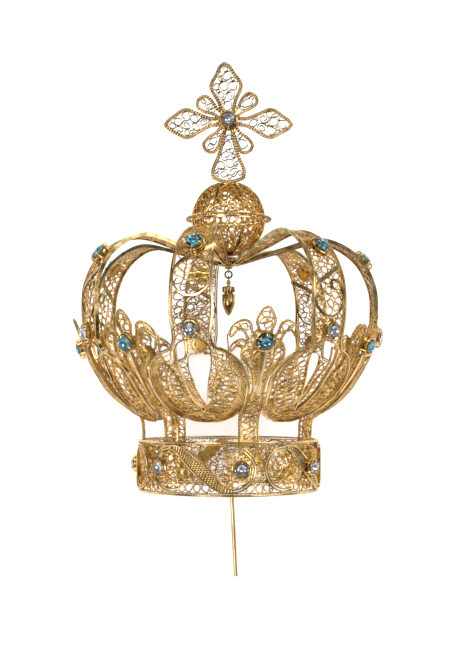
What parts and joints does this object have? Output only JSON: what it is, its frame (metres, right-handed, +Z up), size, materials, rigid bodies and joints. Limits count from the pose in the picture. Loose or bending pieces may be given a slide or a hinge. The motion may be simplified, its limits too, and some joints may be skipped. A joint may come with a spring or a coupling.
{
  "type": "statue crown",
  "caption": "Gilt filigree crown for a statue: openwork band, bowed arches and fleurs-de-lis with set stones, under an openwork globe with a cross, on a thin head pin.",
  "frame": {"origin": "middle of the bounding box, on the surface that the crown lies on", "axes": "+Y the way the crown's cross points, along the floor; +Z up, away from the floor; the crown's front faces up and towards -Y"},
  "size_m": [0.0858, 0.1318, 0.0822],
  "materials": {
    "gilt_wire": "bright yellow gilding over drawn and flattened silver wire",
    "turned_metal": "polished yellow gilding, darker in its grooves",
    "pin_metal": "smooth gilt wire",
    "blue_stone": "cut and polished aquamarine blue crystal",
    "clear_stone": "cut and polished clear crystal"
  },
  "bodies": {
    "root": {"band": "gilt_wire", "arch_1": "gilt_wire", "arch_2": "gilt_wire", "arch_3": "gilt_wire", "arch_4": "gilt_wire", "arch_5": "gilt_wire", "arch_6": "gilt_wire", "arch_7": "gilt_wire", "fleur_1": "gilt_wire", "fleur_2": "gilt_wire", "fleur_3": "gilt_wire", "fleur_4": "gilt_wire", "fleur_5": "gilt_wire", "fleur_6": "gilt_wire", "fleur_7": "gilt_wire", "hub": "turned_metal", "globe_lower": "gilt_wire", "globe_upper": "gilt_wire", "globe_ring": "gilt_wire", "cross": "gilt_wire", "pendant_ring": "turned_metal", "pendant": "turned_metal", "head_pin": "pin_metal", "pin_bridge": "pin_metal", "stone_band_1": "clear_stone", "stone_band_2": "clear_stone", "stone_band_3": "clear_stone", "stone_band_4": "clear_stone", "stone_band_5": "clear_stone", "stone_band_6": "clear_stone", "stone_band_7": "clear_stone", "stone_arch_high_1": "blue_stone", "stone_arch_high_2": "blue_stone", "stone_arch_high_3": "blue_stone", "stone_arch_high_4": "blue_stone", "stone_arch_high_5": "blue_stone", "stone_arch_high_6": "blue_stone", "stone_arch_high_7": "blue_stone", "stone_arch_low_1": "clear_stone", "stone_arch_low_2": "clear_stone", "stone_arch_low_3": "clear_stone", "stone_arch_low_4": "clear_stone", "stone_arch_low_5": "clear_stone", "stone_arch_low_6": "clear_stone", "stone_arch_low_7": "clear_stone", "stone_fleur_1": "blue_stone", "stone_fleur_2": "blue_stone", "stone_fleur_3": "blue_stone", "stone_fleur_4": "blue_stone", "stone_fleur_5": "blue_stone", "stone_fleur_6": "blue_stone", "stone_fleur_7": "blue_stone", "stone_cross": "clear_stone"}
  },
  "joints": []
}
